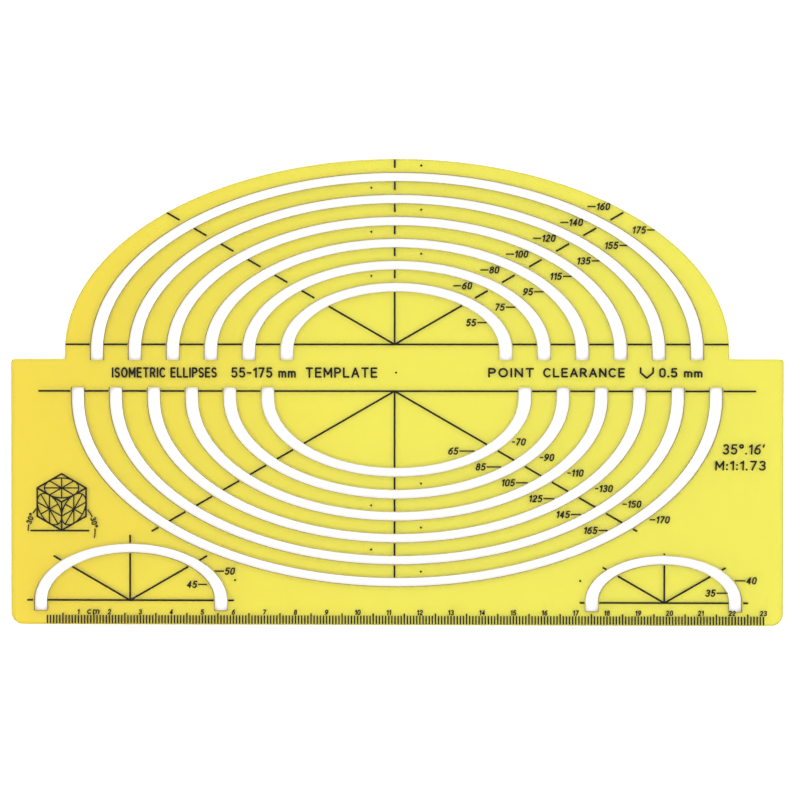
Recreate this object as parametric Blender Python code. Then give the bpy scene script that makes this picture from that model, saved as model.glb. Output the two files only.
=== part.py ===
"""Isometric ellipse template: a moulded sheet with pencil slots, and the lines printed on it.

The moulded sheet is one piece. It is divided here along its slots into solids of simple shape (a bar, a
ruler band, cores, strips and fields), so that a pencil's way along each slot stays open around them.

Run in Blender 4.5. Units are metres, +Z is up. The origin is the centre of the sheet's bounding box, on
its underside. +X runs along the ruler edge from its zero, and +Y points from the ruler edge to the dome.
"""
import math

import bmesh
import bpy

MM = 0.001

# The sheet
SHEET_LENGTH = 248.0 * MM
SHEET_THICKNESS = 1.5 * MM
LOWER_CORNER_RADIUS = 4.1 * MM
UPPER_CORNER_RADIUS = 1.0 * MM
RULER_BEVEL_WIDTH = 0.3 * MM
RULER_BEVEL_DEPTH = 0.3 * MM

# A circle drawn in isometric is an ellipse: these give its half axes from the circle's diameter.
HALF_MAJOR_PER_DIAMETER = math.sqrt(1.5) / 2
HALF_MINOR_PER_DIAMETER = math.sqrt(0.5) / 2
ISOMETRIC_ANGLE = math.radians(30)
PENCIL_ALLOWANCE = 0.55 * MM

# Heights above the ruler edge
UPPER_CENTRE = 88.35 * MM
LOWER_CENTRE = 73.0 * MM
CORNER_ARC_CENTRE = 7.8 * MM

# The slots, each between the circles of two sizes
SLOT_STEP = 5 * MM
GROUP_STEP = 20 * MM
UPPER_SLOTS = [55 * MM + GROUP_STEP * count for count in range(6)]
LOWER_SLOTS = [65 * MM + GROUP_STEP * count for count in range(6)]
STRIP_MIDDLE = (SLOT_STEP + GROUP_STEP) / 2
DOME_CIRCLE = 175 * MM
LEFT_ARC_SLOT = 45 * MM
LEFT_ARC_X = -85.5 * MM
RIGHT_ARC_SLOT = 35 * MM
RIGHT_ARC_X = 85.85 * MM

# How far each group's slots run on, straight, past the centre of their ellipses
UPPER_LEG = 3.1 * MM
LOWER_LEG = 3.4 * MM
CORNER_ARC_LEG = 3.35 * MM
SHOULDER_DROP = 2.85 * MM

# Between one of the sheet's solids and the next
JOINT_GAP = 0.3 * MM

# Moulded dimples, one on each strip between slots, alternating beside the upright axis
DIMPLE_RADIUS = 0.35 * MM
DIMPLE_DEPTH = 0.5 * MM
DIMPLE_SIDES = 8
DIMPLE_OFFSET = 8.0 * MM
CENTRE_DIMPLE = 81.2 * MM
LOW_DIMPLE_X = (-51.8 * MM, 59.1 * MM)
LOW_DIMPLE_HEIGHT = 14.4 * MM

# The print
INK_THICKNESS = 0.04 * MM
INK_CLEARANCE = 0.02 * MM
LINE_WIDTH = 0.6 * MM
LINE_MARGIN = 0.15 * MM
PRINT_X = -0.48 * MM
LEFT_ARC_PRINT_X = -85.6 * MM
RIGHT_ARC_PRINT_X = 86.0 * MM
UPPER_AXIS = UPPER_CENTRE + 1.9 * MM
LOWER_AXIS = LOWER_CENTRE + 2.25 * MM
LOWER_AXIS_REACH = 115.2 * MM
LEFT_ARC_AXIS = CORNER_ARC_CENTRE + 0.1 * MM
RIGHT_ARC_AXIS = CORNER_ARC_CENTRE - 0.4 * MM

# The ruler scale
RULER_ZERO = -112.3 * MM
RULER_MARKS = 230
MARK_BASE = 0.4 * MM
MARK_LENGTH = 2.7 * MM
HALF_MARK_LENGTH = 3.4 * MM
MARK_WIDTH = 0.48 * MM
SCALE_SPINE = 0.12 * MM

# The cube sign at the left
CUBE_X = -107.7 * MM
CUBE_HEIGHT = 39.45 * MM
CUBE_EDGE = 9.05 * MM

# How the round edges are divided, and how flat faces from a curve are tidied
QUARTER_STEPS = 18
FIELD_STEPS = 14
CORNER_STEPS = 6
WELD_DISTANCE = MM / 1000
FLAT_ANGLE = math.radians(0.1)

DOME_HALF_MINOR = DOME_CIRCLE * HALF_MINOR_PER_DIAMETER - PENCIL_ALLOWANCE
DOME_HALF_MAJOR = DOME_CIRCLE * HALF_MAJOR_PER_DIAMETER - PENCIL_ALLOWANCE
SHEET_WIDTH = UPPER_CENTRE + DOME_HALF_MINOR
RULER_EDGE = -SHEET_WIDTH / 2


def clear_scene():
    for old in list(bpy.data.objects):
        bpy.data.objects.remove(old, do_unlink=True)


def make_collection(name):
    collection = bpy.data.collections.new(name)
    bpy.context.scene.collection.children.link(collection)
    return collection


def make_material(name, colour, roughness, alpha=1.0):
    material = bpy.data.materials.new(name)
    material.use_nodes = True
    shader = material.node_tree.nodes["Principled BSDF"]
    shader.inputs["Base Color"].default_value = (*colour, 1.0)
    shader.inputs["Roughness"].default_value = roughness
    shader.inputs["Metallic"].default_value = 0.0
    shader.inputs["Alpha"].default_value = alpha
    return material


def half_axes(circle, allowance):
    """Half axes of the isometric ellipse of a circle, moved outwards by an allowance."""
    major = circle * HALF_MAJOR_PER_DIAMETER + allowance
    minor = circle * HALF_MINOR_PER_DIAMETER + allowance
    return major, minor


def across_ellipse(centre, axes, way, start, end, steps):
    """Points on an ellipse's upper (way 1) or lower (way -1) half. start and end are x from its centre."""
    first = math.acos(start / axes[0])
    last = math.acos(end / axes[0])
    points = []
    for step in range(steps + 1):
        angle = first + (last - first) * step / steps
        x = centre[0] + axes[0] * math.cos(angle)
        y = centre[1] + way * axes[1] * math.sin(angle)
        points.append((x, y))
    return points


def mirrored(points):
    """The same points on the other side of the upright axis, in the opposite order."""
    return [(-x, y) for x, y in reversed(points)]


def corner(centre, radius, start):
    """A quarter circle, anticlockwise from the angle start."""
    points = []
    for step in range(CORNER_STEPS + 1):
        angle = start + math.pi / 2 * step / CORNER_STEPS
        points.append((centre[0] + radius * math.cos(angle), centre[1] + radius * math.sin(angle)))
    return points


def core_outline(centre, circle, way, leg):
    """What lies inside a group's smallest slot: a half ellipse on a straight foot."""
    axes = half_axes(circle, -PENCIL_ALLOWANCE)
    foot = centre[1] - way * leg
    arc = across_ellipse(centre, axes, way, axes[0], -axes[0], 2 * QUARTER_STEPS)
    return [(centre[0] + axes[0], foot)] + arc + [(centre[0] - axes[0], foot)]


def half_strip(height, inner, outer, way, leg, stop):
    """The right half of a strip between two half ellipses: its outer and inner edge, up to stop in x."""
    foot = height - way * leg
    edges = []
    for axes in (outer, inner):
        arc = across_ellipse((0.0, height), axes, way, axes[0], stop, QUARTER_STEPS)
        edges.append([(axes[0], foot)] + arc)
    return edges


def strip_outlines(height, circles, way, leg, last_axes):
    """The name's ending and the outline of each strip outside a group's slots.

    The first strip is whole, and each of the others is a left and a right half.
    """
    outlines = []
    for number, circle in enumerate(circles, 1):
        inner = half_axes(circle + SLOT_STEP, PENCIL_ALLOWANCE)
        outer = last_axes
        if number < len(circles):
            outer = half_axes(circle + GROUP_STEP, -PENCIL_ALLOWANCE)
        if number == 1:
            outside, inside = half_strip(height, inner, outer, way, leg, 0.0)
            whole = outside[:-1] + mirrored(outside) + (inside[:-1] + mirrored(inside))[::-1]
            outlines.append(("1", whole))
            continue
        outside, inside = half_strip(height, inner, outer, way, leg, JOINT_GAP / 2)
        half = outside + inside[::-1]
        outlines.append((f"{number}_left", mirrored(half)))
        outlines.append((f"{number}_right", half))
    return outlines


def bar_outline():
    """The bar between the two groups, up to the sheet's shoulders at both ends."""
    half = SHEET_LENGTH / 2
    bottom = RULER_EDGE + LOWER_CENTRE + LOWER_LEG + JOINT_GAP
    top = RULER_EDGE + UPPER_CENTRE - UPPER_LEG - JOINT_GAP
    shoulder = RULER_EDGE + UPPER_CENTRE - SHOULDER_DROP
    inner_x = DOME_HALF_MAJOR + JOINT_GAP
    corner_centre = (half - UPPER_CORNER_RADIUS, shoulder - UPPER_CORNER_RADIUS)
    right = [(half, bottom)] + corner(corner_centre, UPPER_CORNER_RADIUS, 0.0)
    right += [(inner_x, shoulder), (inner_x, top)]
    return right + mirrored(right)


def ruler_band_outline():
    """The band along the ruler edge, below the feet of the corner arcs."""
    half = SHEET_LENGTH / 2
    centre = (half - LOWER_CORNER_RADIUS, RULER_EDGE + LOWER_CORNER_RADIUS)
    right = corner(centre, LOWER_CORNER_RADIUS, -math.pi / 2)
    right.append((half, RULER_EDGE + CORNER_ARC_CENTRE - CORNER_ARC_LEG - JOINT_GAP))
    return right + mirrored(right)


def field_outlines(arc_x, arc_slot):
    """The right side's fields, outside the largest lower slot: the outer and the inner one."""
    half = SHEET_LENGTH / 2
    large = (0.0, RULER_EDGE + LOWER_CENTRE)
    large_axes = half_axes(LOWER_SLOTS[-1] + SLOT_STEP, PENCIL_ALLOWANCE)
    small = (arc_x, RULER_EDGE + CORNER_ARC_CENTRE)
    small_axes = half_axes(arc_slot + SLOT_STEP, PENCIL_ALLOWANCE)
    top = large[1] + LOWER_LEG
    foot = small[1] - CORNER_ARC_LEG
    gap = JOINT_GAP / 2
    outer = [(half, foot), (half, top), (large_axes[0], top)]
    outer += across_ellipse(large, large_axes, -1, large_axes[0], arc_x + gap, FIELD_STEPS)
    outer += across_ellipse(small, small_axes, 1, gap, small_axes[0], FIELD_STEPS)
    outer.append((arc_x + small_axes[0], foot))
    inner = across_ellipse(large, large_axes, -1, arc_x - gap, gap, FIELD_STEPS)
    inner += [(gap, foot), (arc_x - small_axes[0], foot)]
    inner += across_ellipse(small, small_axes, 1, -small_axes[0], -gap, FIELD_STEPS)
    return outer, inner


def flat_mesh_object(name, outlines, bottom, thickness, material, collection):
    """A flat piece from closed outlines: the first is its edge and the rest are holes in it."""
    curve = bpy.data.curves.new(name, "CURVE")
    curve.dimensions = "2D"
    curve.fill_mode = "BOTH"
    curve.extrude = thickness / 2
    for outline in outlines:
        spline = curve.splines.new("POLY")
        spline.points.add(len(outline) - 1)
        for point, (x, y) in zip(spline.points, outline):
            point.co = (x, y, 0.0, 1.0)
        spline.use_cyclic_u = True
    guide = bpy.data.objects.new(name + "_curve", curve)
    collection.objects.link(guide)
    guide.location.z = bottom + thickness / 2
    bpy.context.view_layer.update()
    depsgraph = bpy.context.evaluated_depsgraph_get()
    mesh = bpy.data.meshes.new_from_object(guide.evaluated_get(depsgraph))
    welded = bmesh.new()
    welded.from_mesh(mesh)
    bmesh.ops.remove_doubles(welded, verts=welded.verts, dist=WELD_DISTANCE)
    bmesh.ops.dissolve_limit(
        welded, angle_limit=FLAT_ANGLE, verts=welded.verts, edges=welded.edges
    )
    bmesh.ops.recalc_face_normals(welded, faces=welded.faces)
    welded.to_mesh(mesh)
    welded.free()
    mesh.materials.clear()
    mesh.materials.append(material)
    piece = bpy.data.objects.new(name, mesh)
    piece.matrix_world = guide.matrix_world.copy()
    collection.objects.link(piece)
    bpy.data.objects.remove(guide, do_unlink=True)
    return piece


def hide_cutter(cutter):
    cutter.hide_render = True
    cutter.display_type = "WIRE"


def cut(piece, cutter, name):
    modifier = piece.modifiers.new(name, "BOOLEAN")
    modifier.operation = "DIFFERENCE"
    modifier.solver = "EXACT"
    modifier.object = cutter
    hide_cutter(cutter)


def dimple_places():
    """Where the dimples are: on every strip of both groups, on the bar between them and low on the sheet."""
    places = [(0.0, CENTRE_DIMPLE)]
    places += [(x, LOW_DIMPLE_HEIGHT) for x in LOW_DIMPLE_X]
    side = -DIMPLE_OFFSET
    for circle in UPPER_SLOTS:
        rise = (circle + STRIP_MIDDLE) * HALF_MINOR_PER_DIAMETER
        places.append((side, UPPER_CENTRE + rise))
        side = -side
    side = DIMPLE_OFFSET
    for circle in LOWER_SLOTS[:-1]:
        rise = (circle + STRIP_MIDDLE) * HALF_MINOR_PER_DIAMETER
        places.append((side, LOWER_CENTRE - rise))
        side = -side
    return places


def make_dimple_cutter(collection):
    """One object that holds a small cone for each dimple."""
    mesh = bpy.data.meshes.new("dimple_cutter")
    cones = bmesh.new()
    for x, height in dimple_places():
        made = bmesh.ops.create_cone(
            cones,
            cap_ends=True,
            segments=DIMPLE_SIDES,
            radius1=DIMPLE_RADIUS / 2,
            radius2=DIMPLE_RADIUS,
            depth=2 * DIMPLE_DEPTH,
        )
        place = (x, RULER_EDGE + height, SHEET_THICKNESS)
        bmesh.ops.translate(cones, verts=made["verts"], vec=place)
    cones.to_mesh(mesh)
    cones.free()
    cutter = bpy.data.objects.new("dimple_cutter", mesh)
    collection.objects.link(cutter)
    return cutter


def make_bevel_cutter(collection):
    """A long block, tilted so that it planes the upper arris off the ruler edge."""
    slope = math.atan2(RULER_BEVEL_DEPTH, RULER_BEVEL_WIDTH)
    mesh = bpy.data.meshes.new("bevel_cutter")
    block = bmesh.new()
    bmesh.ops.create_cube(block, size=1.0)
    size = 10 * MM
    bmesh.ops.scale(block, verts=block.verts, vec=(SHEET_LENGTH + size, size, size))
    bmesh.ops.translate(block, verts=block.verts, vec=(0.0, 0.0, size / 2))
    block.to_mesh(mesh)
    block.free()
    cutter = bpy.data.objects.new("bevel_cutter", mesh)
    cutter.location = (0.0, RULER_EDGE + RULER_BEVEL_WIDTH, SHEET_THICKNESS)
    cutter.rotation_euler.x = slope
    collection.objects.link(cutter)
    return cutter


def sheet_outlines():
    """The name and outline of each of the sheet's solids."""
    upper = RULER_EDGE + UPPER_CENTRE
    lower = RULER_EDGE + LOWER_CENTRE
    arcs = RULER_EDGE + CORNER_ARC_CENTRE
    rim_axes = (DOME_HALF_MAJOR, DOME_HALF_MINOR)
    outlines = [
        ("centre_bar", bar_outline()),
        ("upper_core", core_outline((0.0, upper), UPPER_SLOTS[0], 1, UPPER_LEG)),
        ("lower_core", core_outline((0.0, lower), LOWER_SLOTS[0], -1, LOWER_LEG)),
        ("left_arc_core", core_outline((LEFT_ARC_X, arcs), LEFT_ARC_SLOT, 1, CORNER_ARC_LEG)),
        ("right_arc_core", core_outline((RIGHT_ARC_X, arcs), RIGHT_ARC_SLOT, 1, CORNER_ARC_LEG)),
    ]
    for ending, outline in strip_outlines(upper, UPPER_SLOTS, 1, UPPER_LEG, rim_axes):
        outlines.append(("upper_strip_" + ending, outline))
    largest = half_axes(LOWER_SLOTS[-1], -PENCIL_ALLOWANCE)
    for ending, outline in strip_outlines(lower, LOWER_SLOTS[:-1], -1, LOWER_LEG, largest):
        outlines.append(("lower_strip_" + ending, outline))
    outer, inner = field_outlines(-LEFT_ARC_X, LEFT_ARC_SLOT)
    outlines += [("left_field_outer", mirrored(outer)), ("left_field_inner", mirrored(inner))]
    outer, inner = field_outlines(RIGHT_ARC_X, RIGHT_ARC_SLOT)
    outlines += [("right_field_outer", outer), ("right_field_inner", inner)]
    return outlines


def make_sheet(material, collection, cutters):
    """The sheet's solids, dimpled, with the ruler edge bevelled."""
    dimples = make_dimple_cutter(cutters)
    for name, outline in sheet_outlines():
        piece = flat_mesh_object(name, [outline], 0.0, SHEET_THICKNESS, material, collection)
        cut(piece, dimples, "dimples")
    band = flat_mesh_object(
        "ruler_band", [ruler_band_outline()], 0.0, SHEET_THICKNESS, material, collection
    )
    cut(band, make_bevel_cutter(cutters), "ruler_bevel")


def edge_x(axes, rise):
    """Half the width of an ellipse at a height above its centre, or of its straight legs below it."""
    if rise <= 0.0:
        return axes[0]
    return axes[0] * math.sqrt(1.0 - (rise / axes[1]) ** 2)


def ray_length(start, angle, axes):
    """How far a ray runs from a point inside an ellipse to its edge. The point is given from the centre."""
    ray = (math.cos(angle), math.sin(angle))
    square = (ray[0] / axes[0]) ** 2 + (ray[1] / axes[1]) ** 2
    half_linear = start[0] * ray[0] / axes[0] ** 2 + start[1] * ray[1] / axes[1] ** 2
    constant = (start[0] / axes[0]) ** 2 + (start[1] / axes[1]) ** 2 - 1.0
    return (math.sqrt(half_linear**2 - square * constant) - half_linear) / square


def fan_outline(centre, rays):
    """Lines of one width that run out from a point. rays holds (angle, length), anticlockwise."""
    half = LINE_WIDTH / 2
    points = []
    for index, (angle, length) in enumerate(rays):
        along = (math.cos(angle), math.sin(angle))
        for side in (-half, half):
            x = centre[0] + along[0] * length - along[1] * side
            y = centre[1] + along[1] * length + along[0] * side
            points.append((x, y))
        turn = (rays[(index + 1) % len(rays)][0] - angle) % (2 * math.pi)
        between = angle + turn / 2
        inner = half / math.sin(turn / 2)
        points.append((centre[0] + inner * math.cos(between), centre[1] + inner * math.sin(between)))
    return points


def line_outline(start, end, width=LINE_WIDTH):
    """The four corners of a straight line with square ends."""
    length = math.dist(start, end)
    along = ((end[0] - start[0]) / length, (end[1] - start[1]) / length)
    side = (-along[1] * width / 2, along[0] * width / 2)
    return [
        (start[0] - side[0], start[1] - side[1]),
        (end[0] - side[0], end[1] - side[1]),
        (end[0] + side[0], end[1] + side[1]),
        (start[0] + side[0], start[1] + side[1]),
    ]


def print_piece(name, outlines, ink, collection):
    """A film of ink just above the sheet's top face."""
    bottom = SHEET_THICKNESS + INK_CLEARANCE
    return flat_mesh_object(name, outlines, bottom, INK_THICKNESS, ink, collection)


def make_fan(name, centre, start, inner_circle, way, ink, collection):
    """The axis line, the upright and the two 30 degree lines inside a group's smallest slot."""
    axes = half_axes(inner_circle, -PENCIL_ALLOWANCE)
    offset = (start[0] - centre[0], start[1] - centre[1])
    half_width = edge_x(axes, way * offset[1]) - LINE_MARGIN
    rays = [(0.0, half_width - offset[0]), (math.pi, half_width + offset[0])]
    for angle in (ISOMETRIC_ANGLE, math.pi / 2, math.pi - ISOMETRIC_ANGLE):
        turned = way * angle
        rays.append((turned % (2 * math.pi), ray_length(offset, turned, axes) - LINE_MARGIN))
    return print_piece(name, [fan_outline(start, sorted(rays))], ink, collection)


def make_axis_lines(group, slots, centre, axis, way, last_reach, ink, collection):
    """The axis line's lengths on the strips between a group's slots, on both sides."""
    rise = way * (axis - centre)
    for number, circle in enumerate(slots, 1):
        near = edge_x(half_axes(circle + SLOT_STEP, PENCIL_ALLOWANCE), rise) + LINE_MARGIN
        far = last_reach
        if number < len(slots):
            far = edge_x(half_axes(circle + GROUP_STEP, -PENCIL_ALLOWANCE), rise) - LINE_MARGIN
        for side, sign in (("left", -1), ("right", 1)):
            ends = [(sign * near, RULER_EDGE + axis), (sign * far, RULER_EDGE + axis)]
            print_piece(f"{group}_axis_{side}_{number}", [line_outline(*sorted(ends))], ink, collection)


def make_ruler_scale(ink, collection):
    """A comb of millimetre marks, longer at every half centimetre, on a thin spine at their feet."""
    foot = RULER_EDGE + MARK_BASE
    half = MARK_WIDTH / 2
    points = []
    for mark in range(RULER_MARKS + 1):
        x = RULER_ZERO + mark * MM
        top = foot + (HALF_MARK_LENGTH if mark % 10 == 5 else MARK_LENGTH)
        points += [(x - half, foot + SCALE_SPINE), (x - half, top), (x + half, top)]
        points.append((x + half, foot + SCALE_SPINE))
    points[0] = (points[0][0], foot)
    points[-1] = (points[-1][0], foot)
    return print_piece("ruler_scale", [points], ink, collection)


def make_cube_sign(ink, collection):
    """A cube in isometric view, as line work: a hexagon with its three faces left open."""
    centre = (CUBE_X, RULER_EDGE + CUBE_HEIGHT)
    spread = 1.0 + LINE_WIDTH / (2 * CUBE_EDGE * math.cos(ISOMETRIC_ANGLE))
    inset = 1.0 - LINE_WIDTH / (CUBE_EDGE * math.cos(ISOMETRIC_ANGLE))
    corners = []
    for step in range(6):
        angle = ISOMETRIC_ANGLE + step * math.pi / 3
        corners.append((CUBE_EDGE * math.cos(angle), CUBE_EDGE * math.sin(angle)))
    outlines = [[(centre[0] + x * spread, centre[1] + y * spread) for x, y in corners]]
    for first in (0, 2, 4):
        face = [(0.0, 0.0)] + [corners[(first + step) % 6] for step in range(3)]
        middle = corners[(first + 1) % 6]
        middle = (middle[0] / 2, middle[1] / 2)
        opening = []
        for x, y in face:
            inset_x = middle[0] + (x - middle[0]) * inset
            inset_y = middle[1] + (y - middle[1]) * inset
            opening.append((centre[0] + inset_x, centre[1] + inset_y))
        outlines.append(opening)
    return print_piece("cube_sign", outlines, ink, collection)


def build():
    clear_scene()
    template = make_collection("isometric_ellipse_template")
    cutters = make_collection("cutters")
    plastic = make_material("amber_plastic", (0.87, 0.75, 0.1), 0.2, 0.8)
    ink = make_material("black_ink", (0.01, 0.01, 0.01), 0.5)
    make_sheet(plastic, template, cutters)
    upper = (0.0, RULER_EDGE + UPPER_CENTRE)
    lower = (0.0, RULER_EDGE + LOWER_CENTRE)
    left = (LEFT_ARC_X, RULER_EDGE + CORNER_ARC_CENTRE)
    right = (RIGHT_ARC_X, RULER_EDGE + CORNER_ARC_CENTRE)
    upper_start = (PRINT_X, RULER_EDGE + UPPER_AXIS)
    lower_start = (PRINT_X, RULER_EDGE + LOWER_AXIS)
    left_start = (LEFT_ARC_PRINT_X, RULER_EDGE + LEFT_ARC_AXIS)
    right_start = (RIGHT_ARC_PRINT_X, RULER_EDGE + RIGHT_ARC_AXIS)
    make_fan("upper_fan", upper, upper_start, UPPER_SLOTS[0], 1, ink, template)
    make_fan("lower_fan", lower, lower_start, LOWER_SLOTS[0], -1, ink, template)
    make_fan("left_arc_fan", left, left_start, LEFT_ARC_SLOT, 1, ink, template)
    make_fan("right_arc_fan", right, right_start, RIGHT_ARC_SLOT, 1, ink, template)
    rim = edge_x((DOME_HALF_MAJOR, DOME_HALF_MINOR), UPPER_AXIS - UPPER_CENTRE) - LINE_MARGIN
    make_axis_lines("upper", UPPER_SLOTS, UPPER_CENTRE, UPPER_AXIS, 1, rim, ink, template)
    make_axis_lines("lower", LOWER_SLOTS, LOWER_CENTRE, LOWER_AXIS, -1, LOWER_AXIS_REACH, ink, template)
    make_ruler_scale(ink, template)
    make_cube_sign(ink, template)


build()
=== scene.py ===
"""Looks of the isometric ellipse template: a clear yellow sheet with pencil slots and black print.

Everything is in metres in the row frame: +X along the ruler, +Y towards the dome, +Z out of the print.
"""

import math

import bmesh
import bpy
from mathutils import Matrix, Vector
from mathutils.geometry import delaunay_2d_cdt


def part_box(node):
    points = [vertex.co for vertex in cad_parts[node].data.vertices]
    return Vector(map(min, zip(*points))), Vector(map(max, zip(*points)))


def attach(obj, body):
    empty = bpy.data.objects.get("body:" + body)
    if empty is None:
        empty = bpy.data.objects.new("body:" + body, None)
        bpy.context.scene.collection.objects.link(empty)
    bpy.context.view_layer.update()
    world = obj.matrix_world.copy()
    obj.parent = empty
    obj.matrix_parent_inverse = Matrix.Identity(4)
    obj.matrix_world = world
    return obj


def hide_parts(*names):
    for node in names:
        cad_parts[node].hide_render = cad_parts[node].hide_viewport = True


MM = 0.001

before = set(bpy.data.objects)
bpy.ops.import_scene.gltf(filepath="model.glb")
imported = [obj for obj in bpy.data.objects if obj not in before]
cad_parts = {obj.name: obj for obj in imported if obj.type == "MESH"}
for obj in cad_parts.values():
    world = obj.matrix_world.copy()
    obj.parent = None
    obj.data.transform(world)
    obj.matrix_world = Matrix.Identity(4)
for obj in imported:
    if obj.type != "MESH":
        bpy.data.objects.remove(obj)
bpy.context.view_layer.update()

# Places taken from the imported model
BAND_LOW, BAND_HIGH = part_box("ruler_band")
DOME_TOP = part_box("upper_strip_6_left")[1].y
RULER_EDGE = BAND_LOW.y
HALF_LENGTH = BAND_HIGH.x
THICKNESS = BAND_HIGH.z

# The isometric ellipse of a circle, and what a slot adds to it for the pencil
HALF_MAJOR_PER_DIAMETER = math.sqrt(1.5) / 2
HALF_MINOR_PER_DIAMETER = math.sqrt(0.5) / 2
ISOMETRIC_ANGLE = math.radians(30)
PENCIL_ALLOWANCE = 0.55 * MM

# The sheet, as heights above the ruler edge and the circles of the slots
LOWER_CORNER_RADIUS = 4.1 * MM
UPPER_CORNER_RADIUS = 1.0 * MM
RULER_BEVEL_WIDTH = 0.3 * MM
RULER_BEVEL_DEPTH = 0.3 * MM
UPPER_CENTRE = 88.35 * MM
LOWER_CENTRE = 73.0 * MM
CORNER_ARC_CENTRE = 7.8 * MM
SLOT_STEP = 5 * MM
GROUP_STEP = 20 * MM
UPPER_SLOTS = [55 * MM + GROUP_STEP * count for count in range(6)]
LOWER_SLOTS = [65 * MM + GROUP_STEP * count for count in range(6)]
STRIP_MIDDLE = (SLOT_STEP + GROUP_STEP) / 2
DOME_CIRCLE = 175 * MM
LEFT_ARC_SLOT, LEFT_ARC_X = 45 * MM, -85.5 * MM
RIGHT_ARC_SLOT, RIGHT_ARC_X = 35 * MM, 85.85 * MM
UPPER_LEG = 3.1 * MM
LOWER_LEG = 3.4 * MM
CORNER_ARC_LEG = 3.35 * MM
SHOULDER_DROP = 2.85 * MM

# How finely the outlines are divided
ELLIPSE_STEPS = 24
ELLIPSE_STEP_LENGTH = 2.2 * MM
CORNER_STEPS = 12

# How near points count as one: on an outline, at the bevel, in a flat face and in a finished piece of print
SAME_POINT = MM / 500
SAME_AT_BEVEL = MM / 1e4
SAME_IN_CAP = 1e-9
SAME_IN_PRINT = MM / 2000

# Edges and dimples of the moulding
TOP_ROUND = 0.12 * MM
BOTTOM_ROUND = 0.08 * MM
SLOT_ROUND = 0.03 * MM
ROUND_STEPS = 3
SHARP_EDGE = math.radians(40)
DIMPLE_RADIUS = 0.35 * MM
DIMPLE_DEPTH = 0.5 * MM
DIMPLE_SIDES = 14
DIMPLE_OFFSET = 8.0 * MM
CENTRE_DIMPLE = 81.2 * MM
LOW_DIMPLE_X = (-51.8 * MM, 59.1 * MM)
LOW_DIMPLE_HEIGHT = 14.4 * MM

# The rings of a dimple's pit, as shares of its radius and of its depth
DIMPLE_RINGS = ((0.86, 0.3), (0.62, 0.8), (0.25, 1.0))

# The print's lines
INK_BOTTOM = THICKNESS + 0.02 * MM
INK_TOP = THICKNESS + 0.055 * MM
LINE_WIDTH = 0.6 * MM
LINE_MARGIN = 0.15 * MM
PRINT_X = -0.48 * MM
LEFT_ARC_PRINT_X = -85.6 * MM
RIGHT_ARC_PRINT_X = 86.0 * MM
UPPER_AXIS = UPPER_CENTRE + 1.9 * MM
LOWER_AXIS = LOWER_CENTRE + 2.25 * MM
LEFT_ARC_AXIS = CORNER_ARC_CENTRE + 0.1 * MM
RIGHT_ARC_AXIS = CORNER_ARC_CENTRE - 0.4 * MM

ROOT = "root"


# ---------------------------------------------------------------- outlines


def half_axes(circle, allowance):
    """Half axes of a circle's isometric ellipse, moved outwards by an allowance."""
    return (
        circle * HALF_MAJOR_PER_DIAMETER + allowance,
        circle * HALF_MINOR_PER_DIAMETER + allowance,
    )


def half_ellipse(centre, axes, way):
    """Points from the right end to the left end, over the top (way 1) or under the bottom (way -1)."""
    steps = ELLIPSE_STEPS + 2 * round(axes[0] / ELLIPSE_STEP_LENGTH)
    points = []
    for step in range(steps + 1):
        angle = math.pi * step / steps
        x = centre[0] + axes[0] * math.cos(angle)
        y = centre[1] + way * axes[1] * math.sin(angle)
        points.append((x, y))
    return points


def slot_outline(centre, circle, way, leg):
    """A slot between two half ellipses, with straight legs that end square."""
    outer = half_ellipse(centre, half_axes(circle + SLOT_STEP, PENCIL_ALLOWANCE), way)
    inner = half_ellipse(centre, half_axes(circle, -PENCIL_ALLOWANCE), way)
    end = centre[1] - way * leg
    right = [(inner[0][0], end), (outer[0][0], end)]
    left = [(outer[-1][0], end), (inner[-1][0], end)]
    return right + outer + left + inner[::-1]


def corner(centre, radius, start):
    """A quarter circle, anticlockwise from the angle start."""
    points = []
    for step in range(CORNER_STEPS + 1):
        angle = start + math.pi / 2 * step / CORNER_STEPS
        points.append((centre[0] + radius * math.cos(angle), centre[1] + radius * math.sin(angle)))
    return points


def sheet_outline():
    """The sheet's outer edge, anticlockwise from the lower left corner."""
    rim = (
        DOME_CIRCLE * HALF_MAJOR_PER_DIAMETER - PENCIL_ALLOWANCE,
        DOME_TOP - RULER_EDGE - UPPER_CENTRE,
    )
    centre = (0.0, RULER_EDGE + UPPER_CENTRE)
    shoulder = centre[1] - SHOULDER_DROP
    low = RULER_EDGE + LOWER_CORNER_RADIUS
    low_x = HALF_LENGTH - LOWER_CORNER_RADIUS
    high = shoulder - UPPER_CORNER_RADIUS
    high_x = HALF_LENGTH - UPPER_CORNER_RADIUS
    points = corner((-low_x, low), LOWER_CORNER_RADIUS, math.pi)
    points += corner((low_x, low), LOWER_CORNER_RADIUS, -math.pi / 2)
    points += corner((high_x, high), UPPER_CORNER_RADIUS, 0.0)
    points.append((rim[0], shoulder))
    points += half_ellipse(centre, rim, 1)
    points.append((-rim[0], shoulder))
    points += corner((-high_x, high), UPPER_CORNER_RADIUS, math.pi / 2)
    return points


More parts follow.
